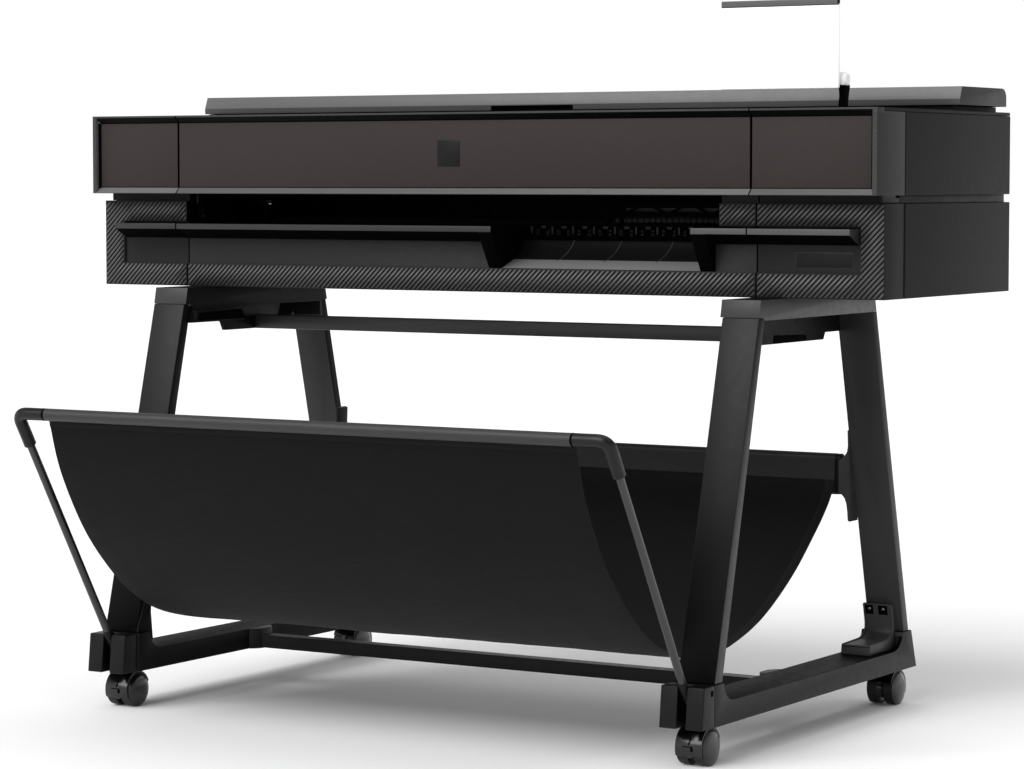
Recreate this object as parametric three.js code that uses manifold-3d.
// Large format plotter on a wheeled stand with a fabric catch basket.
// Millimetres, +Z up, the front faces -Y and +X is the user's right.
// Inside the model Y is counted from the front plane of the upper fascia, and
// the outermost group moves everything so that the origin is on the floor in
// the middle of the footprint.
import * as THREE from 'three';
import { mergeVertices } from 'three/addons/utils/BufferGeometryUtils.js';
import Module from 'manifold-3d';

const wasm = await Module();
wasm.setup();

// ---------------------------------------------------------------- dimensions

const GAP = 0.3; // between pieces that touch
const SEAM = 2; // visible joint between two covers
const ROUND = 24; // sides of a round piece
const FINE_ROUND = 16; // sides of a small round piece

// Printer body
const HALF_WIDTH = 670;
const BODY_BOTTOM = 625;
const LOWER_TOP = 756; // top of the lower covers
const FASCIA_BOTTOM = 767.4;
const FASCIA_TOP = 886.8;
const FASCIA_FRONT = 0;
const LOWER_FRONT = 30;
const BODY_BACK = 463;
const SIDE_SEAM_FRONT = 91; // where the front covers end on the side
const SIDE_SEAM_BACK = 94; // where the side covers start
const COVER = 6; // wall of the covers
const DOOR_LEFT = -508;
const DOOR_RIGHT = 475;
const LOWER_HALF_WIDTH = 669;

// Fascia section
const BEZEL_DEPTH = 8; // panel sits this far behind the fascia's edge
const PANEL_BOTTOM = 776.4;
const PANEL_TOP = 876.3;
const BEZEL_EDGE = 2.8;
const DOOR_DEPTH = 20;
const PANEL_WALL = 4;

// Deck and roll cover
const DECK_BOTTOM = 882;
const DECK_FRONT = 23;
const DECK_HALF_WIDTH = 669.5;
const BAY = { left: -512, right: 418, front: 292, back: 436 };
const PLINTH = { left: -657, right: 655, front: 286, back: 444, top: 894.6 };
const LID = { left: -659, right: HALF_WIDTH, front: 278, back: 447, bottom: 895, top: 921.5 };
const LID_CHAMFER = 904; // height where the front face starts to lean back
const LID_LEAN = 7;
const LID_ROUND = 15;
const LID_WALL = 3;
const LID_HANDLE = { left: -112, right: 34, top: 902 };

// Lower front
const LOWER_SEAM_LEFT = -511;
const LOWER_SEAM_RIGHT = 474;
const RECESS = { left: -632, right: 632, bottom: 660, front: 34, back: 38, top: 715.4, foot: 650 };
const BAND_BOTTOM = 723.8; // underside of the covers' upper band
const LEDGE = { top: 721.5, lip: 713.2, heel: 699, heelY: 30, rootY: 33.6, shelf: 715.8 };
const LEDGE_BACK = 104;
const LEDGE_LEFT = -628;
const LEDGE_RIGHT = 630;
const EXIT_LEFT = 58; // sheet exit between the two ledges
const EXIT_RIGHT = 385;
const CHEEK = 22; // walls beside the sheet exit
const FILLER_LEFT = 415;
const TAB = [446, 464]; // ties the filler to the apron, through a notch in the ledge
const LIP = { front: 38, back: 44, top: 775, end: 655 }; // strip behind the groove under the fascia

// Chassis and rear
const TRAY = { half: 640, front: 46, back: 452, bottom: 625, top: 637 };
const PLATE_FRONT = 60;
const PLATE_STEP_Y = 290; // the side plates are low in front of this, under the carriage
const PLATE_BACK = 450;
const REAR = { half: 654, wall: 7 };
const INLET = { left: -610, right: -560, bottom: 655, top: 690, depth: 24, proud: 2 };
const SOCKET = { left: -599, right: -571, bottom: 662, top: 683, depth: 14 };

// Media path
const MEDIA_LEFT = -505;
const MEDIA_RIGHT = 409;
const PLATEN_TOP = 712;
const PLATEN_BOTTOM = 700;
const PLATEN_FRONT = 116.4;
const PLATEN_BACK = 246;
const DRIVE_ROLLER = { y: 262, z: 700, radius: 13 };
const PINCH_RADIUS = 9;
const PLATE_LEFT = -518; // inner faces of the side plates
const PLATE_RIGHT = 424;
const PLATE = 6;
const RAIL = { y: 205, z: 790, radius: 8, half: 650 };
const CARRIAGE = { left: 215, right: 411, front: 120, back: 244, bottom: 728, top: 815, slope: 30 };
const STATION = { left: 440, right: 640, front: 110, back: 250, drop: 4 };
const WELLS = { starts: [470, 520, 570], width: 34, front: 140, back: 220, floor: 700 };
const INK_BAY = { left: -650, right: -532, front: 46, back: 185, lift: 60, drop: 6 };
const RAMP = { front: 31, foot: 660.6, knee: 58, kneeZ: 670, head: 96, top: 700, under: 54 };
const GUIDE_BAR = { front: 105, back: 116, bottom: 690 };
const POST = { pitch: 35, half: 1.5, front: 97, back: 105.2, bottom: 699, top: 719 };
const SPINDLE = { y: 364, z: 790, radius: 9, hub: 36, hubWidth: 17, stub: 6 };

// Touch panel, carried by an axle on one arm at its right end
const SCREEN = { left: 420, right: 600, front: 25, rim: 29, back: 35, bottom: 914, top: 1036 };
const TILT = { y: 46, z: 926, axle: 7, sleeve: 9.6, arm: 10 };
const ARM = { left: 594, right: 602, waist: 40, waistZ: 902, toe: 37, heel: 52, shoulder: 58 };
const AXLE_LEFT = 465;
const TILT_SLEEVES = [[470, 500], [555, 585]];

// Stand
const LEG_INNER = 460;
const LEG_OUTER = 517;
const LEG_TOP = 595.7;
const BEAM_TOP = 624.3;
const BEAM_BOTTOM = 596;
const FOOT = { inner: 451, outer: 519, bottom: 55, top: 86, raised: 112, front: -175.7, back: 479 };
const FOOT_WALL = 5;
const CHANNEL = { front: -110, back: 400, top: 76 }; // open channel along the foot's underside
const BOOT_SEAT = { front: 338, back: 428, bottom: 85.5 }; // pocket between the heel's side walls
const HEEL = { slope: 19, start: 430, pull: 424, end: 392 }; // raised end behind the rear leg
const TOE = { start: -119, pull: -144, end: -149 }; // raised end under the front leg
const RAIL_BRACKET_SPAN = [362, 392];
const CAP_FRONT = { top: -206, bottom: -212 };
const CAP_INNER = 453;
const SLOT_HALF = 7; // half width of the slot that holds the basket's side rod
const ROD_X = 486; // centre plane of the basket's side rods
const CROSSBAR_Y = 133;
const CROSSBAR = { bottom: 556.7, top: 577.7, depth: 25 };
const LOWER_BAR = { front: 120, depth: 25, bottom: 56, top: 76 };
const CASTER_X = 485;
const CASTER_FRONT_Y = -160;
const CASTER_BACK_Y = 445;

// Basket
const BAR_HINGE = { y: -193, z: 95 };
const BAR = { y: -408, z: 455, radius: 6 };
const ROD_RADIUS = 6;
const ELBOW_RADIUS = 8.3;
const ELBOW_BEND = 20;
const ELBOW_REACH = 54; // how far the corner fitting runs down the side rod
const SLEEVE_HALF = 435; // half the width of the fabric
const FABRIC = 2;
const SLEEVE_WALL = 1.4;
const BACK_RAIL = { y: 378, bottom: 327, top: 373.4, radius: 6, half: 443 }; // flat oval bar
const CLOTH_END = 341; // height where the cloth leaves the rear rail

// Caster
const WHEEL = { radius: 25, inner: 5, outer: 21.5, axle: 3, trail: 12, edge: 2, dome: 3.5 };
const HOOD = { inner: 25.9, outer: 28.3, half: 20, web: 4.4, turn: 0.12 * Math.PI };
const STEM = { radius: 7, bottom: 30 };
const WEB_FOOT = 12; // the fork's web ends this far above the floor

// ---------------------------------------------------------------- materials

const FINISHES = {
  shell: { color: 0x38383a, roughness: 0.55, metalness: 0.0 },
  fascia: { color: 0x40393a, roughness: 0.5, metalness: 0.0 },
  dark: { color: 0x18181a, roughness: 0.6, metalness: 0.0 },
  ribbed: { color: 0x2c2c2e, roughness: 0.6, metalness: 0.0 },
  lid: { color: 0x6e6f72, roughness: 0.45, metalness: 0.0 },
  frame: { color: 0x343436, roughness: 0.5, metalness: 0.2 },
  steel: { color: 0x8d9094, roughness: 0.3, metalness: 0.9 },
  rubber: { color: 0x1b1b1b, roughness: 0.8, metalness: 0.0 },
  gloss: { color: 0x0d0d0e, roughness: 0.2, metalness: 0.0 },
  cloth: { color: 0x161617, roughness: 0.9, metalness: 0.0 },
  screen: { color: 0xe8e9ea, roughness: 0.2, metalness: 0.0 },
};

// ---------------------------------------------------------------- helpers

function bare(geometry) {
  const copy = geometry.index ? geometry.toNonIndexed() : geometry.clone();
  copy.deleteAttribute('normal');
  copy.deleteAttribute('uv');
  return mergeVertices(copy, 1e-4);
}

function toSolid(geometry) {
  const closed = bare(geometry);
  return new wasm.Manifold(new wasm.Mesh({
    numProp: 3,
    vertProperties: closed.attributes.position.array,
    triVerts: new Uint32Array(closed.index.array),
  }));
}

function toGeometry(solid) {
  const mesh = solid.getMesh();
  const geometry = new THREE.BufferGeometry();
  geometry.setAttribute('position', new THREE.BufferAttribute(mesh.vertProperties, 3));
  geometry.setIndex(new THREE.BufferAttribute(mesh.triVerts, 1));
  return geometry;
}

function join(...pieces) {
  const solids = pieces.map(toSolid);
  return toGeometry(solids.reduce((sum, solid) => sum.add(solid)));
}

function cut(base, ...tools) {
  return toGeometry(tools.reduce((rest, tool) => rest.subtract(toSolid(tool)), toSolid(base)));
}

function box([x0, x1], [y0, y1], [z0, z1]) {
  const geometry = new THREE.BoxGeometry(x1 - x0, y1 - y0, z1 - z0);
  return geometry.translate((x0 + x1) / 2, (y0 + y1) / 2, (z0 + z1) / 2);
}

function outline(points) {
  return new THREE.Shape(points.map(([a, b]) => new THREE.Vector2(a, b)));
}

const X = new THREE.Vector3(1, 0, 0);
const Y = new THREE.Vector3(0, 1, 0);
const Z = new THREE.Vector3(0, 0, 1);

// An outline of (Y, Z) points drawn out along X.
function prismX(shape, [x0, x1]) {
  const flat = shape instanceof THREE.Shape ? shape : outline(shape);
  const options = { depth: x1 - x0, bevelEnabled: false, curveSegments: 8 };
  const geometry = new THREE.ExtrudeGeometry(flat, options);
  return geometry.applyMatrix4(new THREE.Matrix4().makeBasis(Y, Z, X).setPosition(x0, 0, 0));
}

// An outline of (X, Z) points drawn out along Y.
function prismY(points, [y0, y1]) {
  const options = { depth: y1 - y0, bevelEnabled: false };
  const geometry = new THREE.ExtrudeGeometry(outline(points), options);
  const turn = new THREE.Matrix4().makeBasis(X, Z, Y.clone().negate()).setPosition(0, y1, 0);
  return geometry.applyMatrix4(turn);
}

// An outline of (X, Y) points drawn out along Z.
function prismZ(points, [z0, z1]) {
  const options = { depth: z1 - z0, bevelEnabled: false };
  return new THREE.ExtrudeGeometry(outline(points), options).translate(0, 0, z0);
}

// A profile of (radius, X) points turned round the line through (y, z) along X.
function turnedX(profile, y, z, sides = ROUND) {
  const points = profile.map(([radius, x]) => new THREE.Vector2(radius, x));
  return new THREE.LatheGeometry(points, sides).rotateZ(-Math.PI / 2).translate(0, y, z);
}

function rodX(radius, [x0, x1], y, z, sides = ROUND) {
  return turnedX([[0, x0], [radius, x0], [radius, x1], [0, x1]], y, z, sides);
}

function rodZ(radius, [z0, z1], x, y) {
  const geometry = new THREE.CylinderGeometry(radius, radius, z1 - z0, ROUND);
  return geometry.rotateX(Math.PI / 2).translate(x, y, (z0 + z1) / 2);
}

// The span between two distances from the middle plane, on the side asked for.
function across(side, inner, outer) {
  return side > 0 ? [inner, outer] : [-outer, -inner];
}

function mirrored(side, points) {
  return side > 0 ? points : points.map(([x, other]) => [-x, other]).reverse();
}

const plotter = new THREE.Group();
const model = new THREE.Group();
plotter.add(model);

function add(name, geometry, finish, parent = model) {
  const mesh = new THREE.Mesh(geometry, new THREE.MeshStandardMaterial(FINISHES[finish]));
  mesh.name = name;
  parent.add(mesh);
  return mesh;
}

const SIDES = [[-1, 'left'], [1, 'right']];

// ---------------------------------------------------------------- body covers

const FASCIA_SECTION = [
  [FASCIA_FRONT, FASCIA_BOTTOM],
  [DOOR_DEPTH, FASCIA_BOTTOM],
  [DOOR_DEPTH, PANEL_BOTTOM - PANEL_WALL],
  [BEZEL_DEPTH + PANEL_WALL, PANEL_BOTTOM - PANEL_WALL],
  [BEZEL_DEPTH + PANEL_WALL, PANEL_TOP + PANEL_WALL],
  [DOOR_DEPTH, PANEL_TOP + PANEL_WALL],
  [DOOR_DEPTH, FASCIA_TOP],
  [FASCIA_FRONT, FASCIA_TOP],
  [FASCIA_FRONT, FASCIA_TOP - BEZEL_EDGE],
  [BEZEL_DEPTH, PANEL_TOP],
  [BEZEL_DEPTH, PANEL_BOTTOM],
  [FASCIA_FRONT, FASCIA_BOTTOM + 1],
];

// The fascia's end piece: front panel, corner bezel and the return along the side.
function fasciaEnd(side, seamX) {
  const overDeck = DECK_FRONT - GAP;
  const returnSection = [
    [FASCIA_FRONT, FASCIA_BOTTOM],
    [SIDE_SEAM_FRONT, FASCIA_BOTTOM],
    [SIDE_SEAM_FRONT, DECK_BOTTOM - GAP],
    [overDeck, DECK_BOTTOM - GAP],
    [overDeck, FASCIA_TOP],
    [FASCIA_FRONT, FASCIA_TOP],
  ];
  const corner = mirrored(side, [
    [HALF_WIDTH - BEZEL_DEPTH - SEAM, BEZEL_DEPTH],
    [HALF_WIDTH - SEAM, FASCIA_FRONT],
    [HALF_WIDTH, FASCIA_FRONT],
    [HALF_WIDTH, BEZEL_DEPTH + 1],
    [HALF_WIDTH - BEZEL_DEPTH - SEAM, BEZEL_DEPTH + 1],
  ]);
  return join(
    prismX(FASCIA_SECTION, across(side, Math.abs(seamX), HALF_WIDTH - 1)),
    prismX(returnSection, across(side, HALF_WIDTH - COVER - 1, HALF_WIDTH)),
    prismZ(corner, [FASCIA_BOTTOM, FASCIA_TOP]),
  );
}

function addFascia() {
  add('front_door', prismX(FASCIA_SECTION, [DOOR_LEFT, DOOR_RIGHT]), 'fascia');
  add('ink_door', fasciaEnd(-1, DOOR_LEFT - SEAM), 'fascia');
  add('end_cover', fasciaEnd(1, DOOR_RIGHT + SEAM), 'fascia');
}

// The lower side cover carries an inner strip that closes the groove above it.
function addSideCovers() {
  const span = [SIDE_SEAM_BACK, BODY_BACK];
  const inner = HALF_WIDTH - COVER;
  const strip = inner - 3;
  const stripInner = strip - COVER;
  const stripFoot = LOWER_TOP - 8;
  const lowerSection = [
    [HALF_WIDTH, BODY_BOTTOM],
    [HALF_WIDTH, LOWER_TOP],
    [strip, LOWER_TOP],
    [strip, LIP.top],
    [stripInner, LIP.top],
    [stripInner, stripFoot],
    [inner, stripFoot],
    [inner, BODY_BOTTOM],
  ];
  for (const [side, name] of SIDES) {
    const upper = box(across(side, inner, HALF_WIDTH), span, [FASCIA_BOTTOM, DECK_BOTTOM - GAP]);
    add(`side_cover_upper_${name}`, upper, 'shell');
    add(`side_cover_lower_${name}`, prismY(mirrored(side, lowerSection), span), 'shell');
  }
}

function ledgeSection(back) {
  return [
    [FASCIA_FRONT, LEDGE.lip],
    [LEDGE.heelY, LEDGE.heel],
    [LEDGE.rootY, LEDGE.heel + 0.6],
    [LEDGE.rootY, LEDGE.shelf],
    [back, LEDGE.shelf],
    [back, LEDGE.top],
    [FASCIA_FRONT, LEDGE.top],
  ];
}

// The lower front corner: a C of ribbed cover round a recess, with its length of ledge.
function lowerCorner(side, seamX, recessEnd, ledgeEnd) {
  const seam = Math.abs(seamX);
  const front = [LOWER_FRONT, LOWER_FRONT + COVER];
  const returnSpan = [LOWER_FRONT, SIDE_SEAM_FRONT];
  return join(
    box(across(side, seam, LOWER_HALF_WIDTH), front, [BODY_BOTTOM, RECESS.bottom]),
    box(across(side, seam, LOWER_HALF_WIDTH), front, [BAND_BOTTOM, LOWER_TOP]),
    box(across(side, recessEnd, LOWER_HALF_WIDTH), front, [BODY_BOTTOM, LOWER_TOP]),
    box(across(side, LOWER_HALF_WIDTH - COVER, LOWER_HALF_WIDTH), returnSpan, [BODY_BOTTOM, LOWER_TOP]),
    box(across(side, seam, recessEnd + COVER), [RECESS.front, RECESS.back], [RECESS.foot, LEDGE.top]),
    prismX(ledgeSection(LIP.back), across(side, seam, ledgeEnd)),
    box(across(side, seam, LIP.end), [LIP.front - COVER, LIP.back], [LOWER_TOP - COVER, LOWER_TOP]),
    box(across(side, seam, LIP.end), [LIP.front, LIP.back], [LOWER_TOP - COVER, LIP.top]),
    box(across(side, seam, LIP.end), [RECESS.back - 1, LIP.back], [LEDGE.top - 1, LOWER_TOP]),
  );
}

function addLowerFront() {
  const front = [LOWER_FRONT, LOWER_FRONT + COVER];
  add('lower_cover_left', lowerCorner(-1, LOWER_SEAM_LEFT, -RECESS.left, -LEDGE_LEFT), 'ribbed');
  add('lower_cover_right', lowerCorner(1, LOWER_SEAM_RIGHT, RECESS.right, LEDGE_RIGHT), 'ribbed');

  const left = LOWER_SEAM_LEFT + SEAM;
  const right = LOWER_SEAM_RIGHT - SEAM;
  const leftCheek = EXIT_LEFT - CHEEK - GAP;
  const rightCheek = EXIT_RIGHT + CHEEK + GAP;
  const apron = join(
    box([left, right], front, [BODY_BOTTOM, RECESS.bottom]),
    box([left, leftCheek], [RECESS.front, RECESS.back], [RECESS.foot, RECESS.top]),
    box([rightCheek, right], [RECESS.front, RECESS.back], [RECESS.foot, RECESS.top]),
    box([FILLER_LEFT, right], front, [BAND_BOTTOM, LOWER_TOP]),
    box([FILLER_LEFT, right], [LIP.front, LIP.back], [LOWER_TOP - COVER, LIP.top]),
    box([FILLER_LEFT, right], [LIP.front - COVER, LIP.back], [BAND_BOTTOM, LOWER_TOP]),
    box(TAB, [RECESS.back - 1, LIP.back], [RECESS.bottom, BAND_BOTTOM + 1]),
  );
  add('apron', apron, 'ribbed');

  const cheekSection = [
    [FASCIA_FRONT, LEDGE.lip],
    [LOWER_FRONT + 1, RECESS.bottom + 1],
    [LEDGE_BACK, RECESS.bottom + 1],
    [LEDGE_BACK, LEDGE.top],
    [FASCIA_FRONT, LEDGE.top],
  ];
  const ledgeLeft = join(
    prismX(ledgeSection(LEDGE_BACK), [left, EXIT_LEFT]),
    prismX(cheekSection, [EXIT_LEFT - CHEEK, EXIT_LEFT]),
  );
  const ledgeRight = join(
    prismX(ledgeSection(LEDGE_BACK), [EXIT_RIGHT, right]),
    prismX(cheekSection, [EXIT_RIGHT, EXIT_RIGHT + CHEEK]),
  );
  const tabNotch = box(
    [TAB[0] - 1, TAB[1] + 1],
    [RECESS.back - 2, LIP.back + 1],
    [LEDGE.heel, LEDGE.top + 1],
  );
  add('ledge_left', ledgeLeft, 'shell');
  add('ledge_right', cut(ledgeRight, tabNotch), 'shell');
}

function addDeckAndLid() {
  const slab = box([-DECK_HALF_WIDTH, DECK_HALF_WIDTH], [DECK_FRONT, BODY_BACK], [DECK_BOTTOM, FASCIA_TOP]);
  const plinth = box([PLINTH.left, PLINTH.right], [PLINTH.front, PLINTH.back], [DECK_BOTTOM + 1, PLINTH.top]);
  const mouth = box([BAY.left, BAY.right], [BAY.front, BAY.back], [DECK_BOTTOM - 1, PLINTH.top + 1]);
  add('top_deck', cut(join(slab, plinth), mouth), 'shell');

  const lidShape = (inset, bottom) => {
    const shape = new THREE.Shape();
    const round = LID_ROUND - inset;
    const back = LID.back - inset;
    const top = LID.top - inset;
    shape.moveTo(LID.front + inset, bottom);
    shape.lineTo(back, bottom);
    shape.lineTo(back, top - round);
    shape.absarc(back - round, top - round, round, 0, Math.PI / 2, false);
    shape.lineTo(LID.front + LID_LEAN + inset, top);
    shape.lineTo(LID.front + inset, LID_CHAMFER);
    return shape;
  };
  const outer = prismX(lidShape(0, LID.bottom), [LID.left, LID.right]);
  const inner = prismX(lidShape(LID_WALL, LID.bottom - 1), [LID.left + LID_WALL, LID.right - LID_WALL]);
  const handle = box([LID_HANDLE.left, LID_HANDLE.right], [LID.front - 1, LID.front + LID_WALL + 1],
    [LID.bottom - 1, LID_HANDLE.top]);
  add('roll_cover', cut(outer, inner, handle), 'lid');
}

// ---------------------------------------------------------------- inside the body

function addChassis() {
  const { half, front, back, bottom, top } = TRAY;
  add('chassis_tray', box([-half, half], [front, back], [bottom, top]), 'steel');
  const stepZ = PLATEN_BOTTOM - GAP;
  const plateSection = [
    [PLATE_FRONT, top + GAP],
    [PLATE_BACK, top + GAP],
    [PLATE_BACK, DECK_BOTTOM - GAP],
    [PLATE_STEP_Y, DECK_BOTTOM - GAP],
    [PLATE_STEP_Y, stepZ],
    [PLATE_FRONT, stepZ],
  ];
  add('side_plate_left', prismX(plateSection, [PLATE_LEFT - PLATE, PLATE_LEFT]), 'steel');
  add('side_plate_right', prismX(plateSection, [PLATE_RIGHT, PLATE_RIGHT + PLATE]), 'steel');

  const rearWall = [BODY_BACK - REAR.wall, BODY_BACK];
  const rear = box([-REAR.half, REAR.half], rearWall, [BODY_BOTTOM, DECK_BOTTOM - GAP]);
  const throughWall = [BODY_BACK - REAR.wall - 1, BODY_BACK + 1];
  const inletWindow = box([INLET.left, INLET.right], throughWall, [INLET.bottom, INLET.top]);
  add('rear_cover', cut(rear, inletWindow), 'shell');
  const fit = GAP + 0.2;
  const inletBody = box(
    [INLET.left + fit, INLET.right - fit],
    [BODY_BACK - INLET.depth, BODY_BACK + INLET.proud],
    [INLET.bottom + fit, INLET.top - fit],
  );
  const socket = box(
    [SOCKET.left, SOCKET.right],
    [BODY_BACK - SOCKET.depth, BODY_BACK + INLET.proud + 1],
    [SOCKET.bottom, SOCKET.top],
  );
  add('power_inlet', cut(inletBody, socket), 'dark');
}

// The ramp rises gently from the apron, then curls up to the guide bar.
function rampSection() {
  const { front, foot, knee, kneeZ, head, top, under } = RAMP;
  const back = GUIDE_BAR.front + 0.2;
  const shape = new THREE.Shape();
  shape.moveTo(front, foot);
  shape.lineTo(knee, kneeZ);
  shape.quadraticCurveTo(head - 8, kneeZ + 9, head, top);
  shape.lineTo(back, top);
  shape.lineTo(back, top - 6);
  shape.quadraticCurveTo(head - 4, kneeZ, under, foot);
  return shape;
}

function addMediaPath() {
  // Exit ramp with the bar of star wheel posts behind it.
  const pieces = [
    prismX(rampSection(), [EXIT_LEFT + GAP, EXIT_RIGHT - GAP]),
    box([MEDIA_LEFT, MEDIA_RIGHT], [GUIDE_BAR.front, GUIDE_BAR.back], [GUIDE_BAR.bottom, PLATEN_TOP + 1]),
  ];
  for (let x = EXIT_LEFT + POST.pitch / 2; x < EXIT_RIGHT; x += POST.pitch) {
    pieces.push(box([x - POST.half, x + POST.half], [POST.front, POST.back], [POST.bottom, POST.top]));
  }
  add('output_ramp', join(...pieces), 'dark');

  const platen = box([MEDIA_LEFT, MEDIA_RIGHT], [PLATEN_FRONT, PLATEN_BACK], [PLATEN_BOTTOM, PLATEN_TOP]);
  add('platen', platen, 'dark');
  const drive = DRIVE_ROLLER;
  add('drive_roller', rodX(drive.radius, [MEDIA_LEFT - 5, MEDIA_RIGHT + 5], drive.y, drive.z), 'rubber');
  const pinchZ = drive.z + drive.radius + PINCH_RADIUS + GAP;
  add('pinch_roller', rodX(PINCH_RADIUS, [MEDIA_LEFT + 5, MEDIA_RIGHT - 5], drive.y, pinchZ), 'rubber');

  const { y, z, radius, hub, hubWidth, stub } = SPINDLE;
  const left = PLATE_LEFT + 3;
  const right = PLATE_RIGHT - 3;
  const hubInset = 12;
  add('spindle', turnedX([
    [0, left],
    [stub, left],
    [stub, left + hubInset],
    [hub, left + hubInset],
    [hub, left + hubInset + hubWidth],
    [radius, left + hubInset + hubWidth],
    [radius, right - hubInset - hubWidth],
    [hub, right - hubInset - hubWidth],
    [hub, right - hubInset],
    [stub, right - hubInset],
    [stub, right],
    [0, right],
  ], y, z), 'dark');
}

function addCarriage() {
  add('carriage_rail', rodX(RAIL.radius, [-RAIL.half, RAIL.half], RAIL.y, RAIL.z), 'steel');
  const { left, right, front, back, bottom, top, slope } = CARRIAGE;
  const section = [
    [front, bottom],
    [back, bottom],
    [back, top],
    [front + slope, top],
    [front, top - slope],
  ];
  const bore = rodX(RAIL.radius + GAP, [left - 1, right + 1], RAIL.y, RAIL.z);
  add('carriage', cut(prismX(section, [left, right]), bore), 'dark');

  const station = box(
    [STATION.left, STATION.right],
    [STATION.front, STATION.back],
    [TRAY.top + GAP, bottom - STATION.drop],
  );
  const wells = WELLS.starts.map((x) => (
    box([x, x + WELLS.width], [WELLS.front, WELLS.back], [WELLS.floor, bottom])
  ));
  add('service_station', cut(station, ...wells), 'dark');
  add('ink_bay', box(
    [INK_BAY.left, INK_BAY.right],
    [INK_BAY.front, INK_BAY.back],
    [TRAY.top + INK_BAY.lift, DECK_BOTTOM - INK_BAY.drop],
  ), 'dark');
}

function addTouchPanel() {
  const deck = FASCIA_TOP + GAP;
  const armSection = new THREE.Shape();
  armSection.moveTo(ARM.toe, deck);
  armSection.lineTo(ARM.heel, deck);
  armSection.quadraticCurveTo(ARM.heel + 1, ARM.waistZ, ARM.shoulder, TILT.z - TILT.arm);
  armSection.lineTo(TILT.y + TILT.arm, TILT.z);
  armSection.absarc(TILT.y, TILT.z, TILT.arm, 0, Math.PI, false);
  armSection.quadraticCurveTo(ARM.waist, ARM.waistZ + 8, ARM.waist, ARM.waistZ);
  add('panel_base', join(
    prismX(armSection, [ARM.left, ARM.right]),
    rodX(TILT.axle, [AXLE_LEFT, ARM.left + 1], TILT.y, TILT.z),
  ), 'dark');

  const taper = SCREEN.back - SCREEN.rim;
  const housing = prismZ([
    [SCREEN.left, SCREEN.front],
    [SCREEN.right, SCREEN.front],
    [SCREEN.right, SCREEN.rim],
    [SCREEN.right - taper, SCREEN.back],
    [SCREEN.left + taper, SCREEN.back],
    [SCREEN.left, SCREEN.rim],
  ], [SCREEN.bottom, SCREEN.top]);
  const sleeveSection = new THREE.Shape();
  sleeveSection.moveTo(SCREEN.back - 1, TILT.z - TILT.sleeve);
  sleeveSection.lineTo(TILT.y, TILT.z - TILT.sleeve);
  sleeveSection.absarc(TILT.y, TILT.z, TILT.sleeve, -Math.PI / 2, Math.PI / 2, false);
  sleeveSection.lineTo(SCREEN.back - 1, TILT.z + TILT.sleeve);
  const sleeves = TILT_SLEEVES.map((span) => prismX(sleeveSection, span));
  const bore = rodX(TILT.axle + GAP, [AXLE_LEFT, SCREEN.right], TILT.y, TILT.z);
  add('touch_panel', cut(join(housing, ...sleeves), bore), 'screen');
}

// ---------------------------------------------------------------- stand

function footSection() {
  const shape = new THREE.Shape();
  shape.moveTo(FOOT.front, FOOT.bottom);
  shape.lineTo(FOOT.back, FOOT.bottom);
  shape.lineTo(FOOT.back - HEEL.slope, FOOT.raised);
  shape.lineTo(HEEL.start, FOOT.raised);
  shape.quadraticCurveTo(HEEL.pull, FOOT.top, HEEL.end, FOOT.top);
  shape.lineTo(TOE.start, FOOT.top);
  shape.quadraticCurveTo(TOE.pull, FOOT.top, TOE.end, FOOT.raised);
  shape.lineTo(FOOT.front, FOOT.raised);
  return shape;
}

const FRONT_LEG = [
  [-46, LEG_TOP + 4],
  [-172.2, FOOT.raised + GAP],
  [-150, FOOT.raised + GAP],
  [-29, LEG_TOP - 0.5],
  [-36.4, LEG_TOP + 4],
];
const REAR_LEG = [[317.5, LEG_TOP], [436.3, FOOT.raised + GAP], [453.3, FOOT.raised + GAP], [333.3, LEG_TOP]];
const TOP_BEAM = [
  [-46, BEAM_BOTTOM + 4],
  [-36, BEAM_BOTTOM + 4],
  [-28, BEAM_BOTTOM],
  [333, BEAM_BOTTOM],
  [326, BEAM_TOP],
  [-41, BEAM_TOP],
];

// Web under the top beam, deepest where the upper crossbar meets it, and its inner flange.
const BEAM_WEB = [
  [-28.4, BEAM_BOTTOM + 1],
  [-28.4, BEAM_BOTTOM - 1],
  [-34.6, 571],
  [47, 571],
  [55, CROSSBAR.bottom],
  [267, CROSSBAR.bottom],
  [273, 567],
  [323.6, 567],
  [317, BEAM_BOTTOM - 1],
  [316, BEAM_BOTTOM + 1],
];
const WEB_FLANGE = { inner: 450, front: -28.4, back: 90, bottom: 572, top: 590 };

// Bracket on the rear leg that holds the basket's rear rail, flared into the leg.
const RAIL_BRACKET = [
  [461, 281],
  [461, 419],
  [457.2, 417],
  [458, 394],
  [456.6, 385],
  [453, 379.5],
  [448, 375],
  [BACK_RAIL.half + GAP, 372],
  [BACK_RAIL.half + GAP, 324],
  [448, 321.6],
  [453, 316],
  [456, 308],
  [457.6, 296],
  [458.4, 283],
];

// The bracket that ties a rear leg to its foot: an L with a thick heel.
const BOOT = [
  [340, BOOT_SEAT.bottom + 0.4],
  [427.6, BOOT_SEAT.bottom + 0.4],
  [427.6, 112.6],
  [435.4, 112.6],
  [425.4, 154],
  [416, 154],
  [423.6, 121],
  [420.6, 111],
  [413, 104.5],
  [403, 102],
  [342, 100],
];
const BOOT_SPAN = [459, 506];

// Ends of the lower crossbar, flared where they meet the feet.
const LUG = [
  [FOOT.inner - GAP, 104],
  [446, 107],
  [441, 111.5],
  [437.6, 117],
  [436, 122],
  [436, 143],
  [437.6, 148],
  [441, 153.5],
  [446, 158],
  [FOOT.inner - GAP, 161],
];

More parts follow.
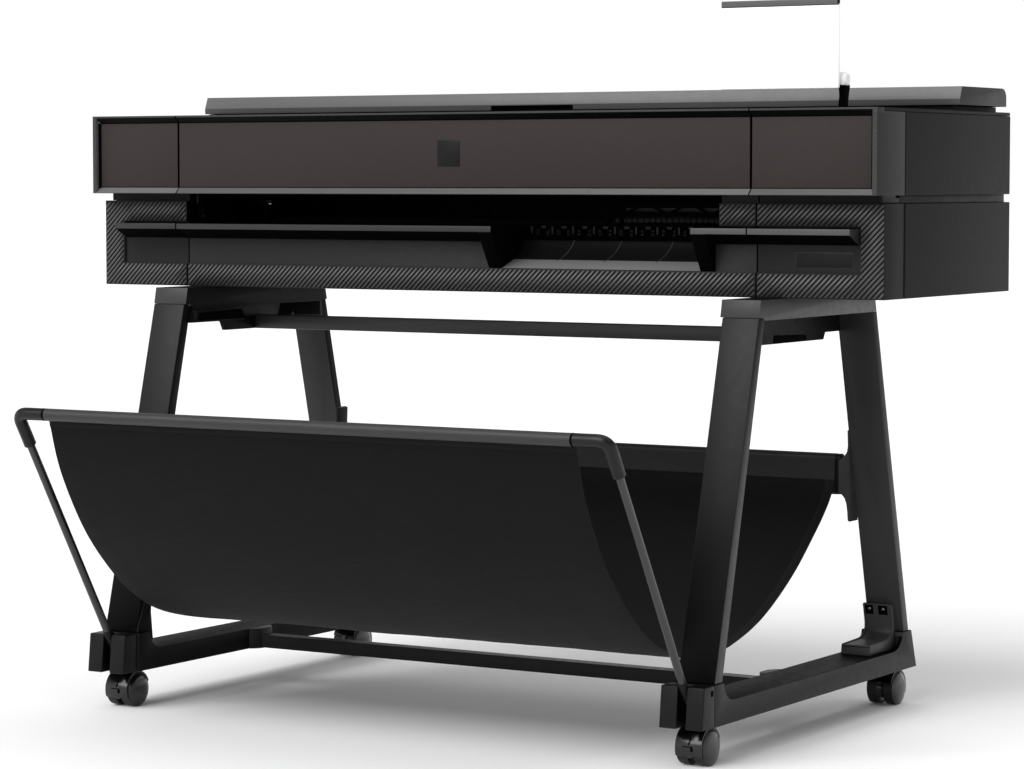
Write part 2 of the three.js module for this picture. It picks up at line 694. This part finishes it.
function addStandSide(side, name) {
  const legSpan = across(side, LEG_INNER, LEG_OUTER);
  const foot = prismX(footSection(), across(side, FOOT.inner, FOOT.outer));
  const inside = across(side, FOOT.inner + FOOT_WALL, FOOT.outer - FOOT_WALL);
  const channel = box(inside, [CHANNEL.front, CHANNEL.back], [FOOT.bottom - 1, CHANNEL.top]);
  const seat = box(
    inside,
    [BOOT_SEAT.front, BOOT_SEAT.back],
    [BOOT_SEAT.bottom, FOOT.raised + 1],
  );
  add(`foot_beam_${name}`, cut(foot, channel, seat), 'frame');
  add(`front_leg_${name}`, prismX(FRONT_LEG, legSpan), 'frame');

  const railHolder = prismY(mirrored(side, RAIL_BRACKET), RAIL_BRACKET_SPAN);
  add(`rear_leg_${name}`, join(prismX(REAR_LEG, legSpan), railHolder), 'frame');

  add(`top_beam_${name}`, join(
    prismX(TOP_BEAM, across(side, LEG_INNER - 3, LEG_OUTER)),
    prismX(BEAM_WEB, across(side, LEG_INNER - 3, LEG_INNER + 3)),
    box(
      across(side, WEB_FLANGE.inner, LEG_INNER - 2),
      [WEB_FLANGE.front, WEB_FLANGE.back],
      [WEB_FLANGE.bottom, WEB_FLANGE.top],
    ),
  ), 'frame');
  add(`boot_bracket_${name}`, prismX(BOOT, across(side, ...BOOT_SPAN)), 'shell');

  const cap = prismX([
    [CAP_FRONT.bottom, FOOT.bottom],
    [FOOT.front - GAP, FOOT.bottom],
    [FOOT.front - GAP, FOOT.raised],
    [CAP_FRONT.top, FOOT.raised],
  ], across(side, CAP_INNER, FOOT.outer));
  const slot = box(
    across(side, ROD_X - SLOT_HALF, ROD_X + SLOT_HALF),
    [CAP_FRONT.bottom - 1, FOOT.front - 5],
    [FOOT.bottom - 1, FOOT.raised + 1],
  );
  add(`foot_cap_${name}`, cut(cap, slot), 'shell');
}

// The rear rail's section, grown by a margin all round.
function oval({ y, bottom, top, radius }, margin) {
  const shape = new THREE.Shape();
  shape.absarc(y, top, radius + margin, 0, Math.PI, false);
  shape.absarc(y, bottom, radius + margin, Math.PI, 2 * Math.PI, false);
  return shape;
}

function addCrossbars() {
  const half = LEG_INNER - 3 - GAP;
  const depth = [CROSSBAR_Y, CROSSBAR_Y + CROSSBAR.depth];
  add('upper_crossbar', box([-half, half], depth, [CROSSBAR.bottom, CROSSBAR.top]), 'frame');

  const reach = FOOT.inner - GAP;
  const { front, depth: deep, bottom, top } = LOWER_BAR;
  const lugs = SIDES.map(([side]) => prismZ(mirrored(side, LUG), [FOOT.bottom, FOOT.top]));
  const bar = box([-reach + 1, reach - 1], [front, front + deep], [bottom, top]);
  add('lower_crossbar', join(bar, ...lugs), 'frame');
  add('rear_rail', prismX(oval(BACK_RAIL, 0), [-BACK_RAIL.half, BACK_RAIL.half]), 'frame');
}

// ---------------------------------------------------------------- basket

const DOWN = new THREE.Vector3(0, BAR_HINGE.y - BAR.y, BAR_HINGE.z - BAR.z).normalize();

function sweep(path, radius, sides, steps) {
  const ring = [];
  for (let i = 0; i < sides; i += 1) {
    const turn = ((i + 0.5) / sides) * Math.PI * 2;
    ring.push([Math.cos(turn) * radius, Math.sin(turn) * radius]);
  }
  return new THREE.ExtrudeGeometry(outline(ring), { extrudePath: path, steps, bevelEnabled: false });
}

function addBasketBar() {
  add('basket_front_tube', rodX(BAR.radius, [-SLEEVE_HALF - 1, SLEEVE_HALF + 1], BAR.y, BAR.z), 'frame');
  const corner = (side) => new THREE.Vector3(side * ROD_X, BAR.y, BAR.z);
  for (const [side, name] of SIDES) {
    const start = new THREE.Vector3(side * (SLEEVE_HALF + 1 + GAP), BAR.y, BAR.z);
    const bendIn = new THREE.Vector3(side * (ROD_X - ELBOW_BEND), BAR.y, BAR.z);
    const bendOut = corner(side).addScaledVector(DOWN, ELBOW_BEND);
    const end = corner(side).addScaledVector(DOWN, ELBOW_REACH);
    const path = new THREE.CatmullRomCurve3([
      start,
      bendIn,
      corner(side).lerp(bendIn.clone().lerp(bendOut, 0.5), 0.42),
      bendOut,
      bendOut.clone().lerp(end, 0.5),
      end,
    ], false, 'centripetal');
    add(`basket_elbow_${name}`, sweep(path, ELBOW_RADIUS, 10, 16), 'shell');

    const top = corner(side).addScaledVector(DOWN, ELBOW_REACH + GAP);
    const foot = new THREE.Vector3(side * ROD_X, BAR_HINGE.y, BAR_HINGE.z).addScaledVector(DOWN, ROD_RADIUS);
    const rod = new THREE.LineCurve3(top, foot);
    add(`basket_rod_${name}`, sweep(rod, ROD_RADIUS, 10, 1), 'frame');
  }
}

// The cloth hangs in one curve from the front tube to the rear rail.
function addBasketCloth() {
  const sleeve = BAR.radius + GAP + SLEEVE_WALL;
  const hang = new THREE.SplineCurve([
    [BAR.y + sleeve - 1, BAR.z - 2],
    [-398, 436],
    [-376, 370],
    [-328, 288],
    [-273, 226],
    [-217, 181],
    [-150, 147],
    [-60, 127],
    [20, 130],
    [127, 158],
    [226, 209],
    [300, 264],
    [346, 305],
    [BACK_RAIL.y - sleeve + 1, CLOTH_END],
  ].map(([y, z]) => new THREE.Vector2(y, z)));
  const steps = 36;
  const above = [];
  const below = [];
  for (let i = 0; i <= steps; i += 1) {
    const point = hang.getPoint(i / steps);
    const tangent = hang.getTangent(i / steps);
    const offset = new THREE.Vector2(-tangent.y, tangent.x).multiplyScalar(FABRIC / 2);
    above.push(point.clone().add(offset));
    below.push(point.clone().sub(offset));
  }
  const span = [-SLEEVE_HALF, SLEEVE_HALF];
  const sheet = prismX(new THREE.Shape([...below, ...above.reverse()]), span);
  const through = [-SLEEVE_HALF - 1, SLEEVE_HALF + 1];
  const frontSleeve = rodX(sleeve, span, BAR.y, BAR.z, FINE_ROUND);
  const frontBore = rodX(BAR.radius + GAP, through, BAR.y, BAR.z, FINE_ROUND);
  const backSleeve = prismX(oval(BACK_RAIL, GAP + SLEEVE_WALL), span);
  const backBore = prismX(oval(BACK_RAIL, GAP), through);
  add('basket_cloth', cut(join(sheet, frontSleeve, backSleeve), frontBore, backBore), 'cloth');
}

// ---------------------------------------------------------------- casters

// Built round its own stem, standing on the floor with the wheels ahead of the stem.
function addCaster(name, x, wheelY, ahead) {
  const caster = new THREE.Group();
  caster.position.set(x, wheelY - ahead * WHEEL.trail, 0);
  model.add(caster);
  const axleY = ahead * WHEEL.trail;
  const axleZ = WHEEL.radius;

  const hoodSection = new THREE.Shape();
  const start = -ahead * HOOD.turn;
  hoodSection.absarc(axleY, axleZ, HOOD.outer, start, start + Math.PI, false);
  hoodSection.absarc(axleY, axleZ, HOOD.inner, start + Math.PI, start, true);
  const web = rodX(HOOD.inner + 0.5, [-HOOD.web, HOOD.web], axleY, axleZ);
  const reach = HOOD.outer;
  const webTrim = box([-HOOD.web - 1, HOOD.web + 1], [axleY - reach, axleY + reach], [-reach, WEB_FOOT]);
  const stem = rodZ(STEM.radius, [STEM.bottom, FOOT.bottom - GAP], 0, 0);
  const stemTrim = rodX(HOOD.inner, [-HOOD.half, -HOOD.web], axleY, axleZ);
  const stemTrimRight = rodX(HOOD.inner, [HOOD.web, HOOD.half], axleY, axleZ);
  const bore = rodX(WHEEL.axle + GAP, [-HOOD.web - 1, HOOD.web + 1], axleY, axleZ, FINE_ROUND);
  const hood = join(prismX(hoodSection, [-HOOD.half, HOOD.half]), stem);
  const fork = cut(join(cut(hood, stemTrim, stemTrimRight), cut(web, webTrim)), bore);
  add(`caster_fork_${name}`, fork, 'gloss', caster);

  const { inner, outer, radius, axle, edge, dome } = WHEEL;
  const half = [
    [axle, inner],
    [radius - edge, inner],
    [radius, inner + edge],
    [radius, outer - edge],
    [radius - edge, outer],
    [radius * 0.6, outer + dome * 0.7],
    [0, outer + dome],
  ];
  const otherHalf = half.map(([r, at]) => [r, -at]).reverse();
  add(`caster_wheels_${name}`, turnedX([...otherHalf, ...half], axleY, axleZ), 'gloss', caster);
}

// ---------------------------------------------------------------- assembly

addFascia();
addSideCovers();
addLowerFront();
addDeckAndLid();
addChassis();
addMediaPath();
addCarriage();
addTouchPanel();
for (const [side, name] of SIDES) {
  addStandSide(side, name);
  addCaster(`front_${name}`, side * CASTER_X, CASTER_FRONT_Y, -1);
  addCaster(`rear_${name}`, side * CASTER_X, CASTER_BACK_Y, 1);
}
addCrossbars();
addBasketBar();
addBasketCloth();

const FRONT_REACH = BAR.y - ELBOW_RADIUS;
model.position.y = -(FRONT_REACH + FOOT.back) / 2;

export default plotter;
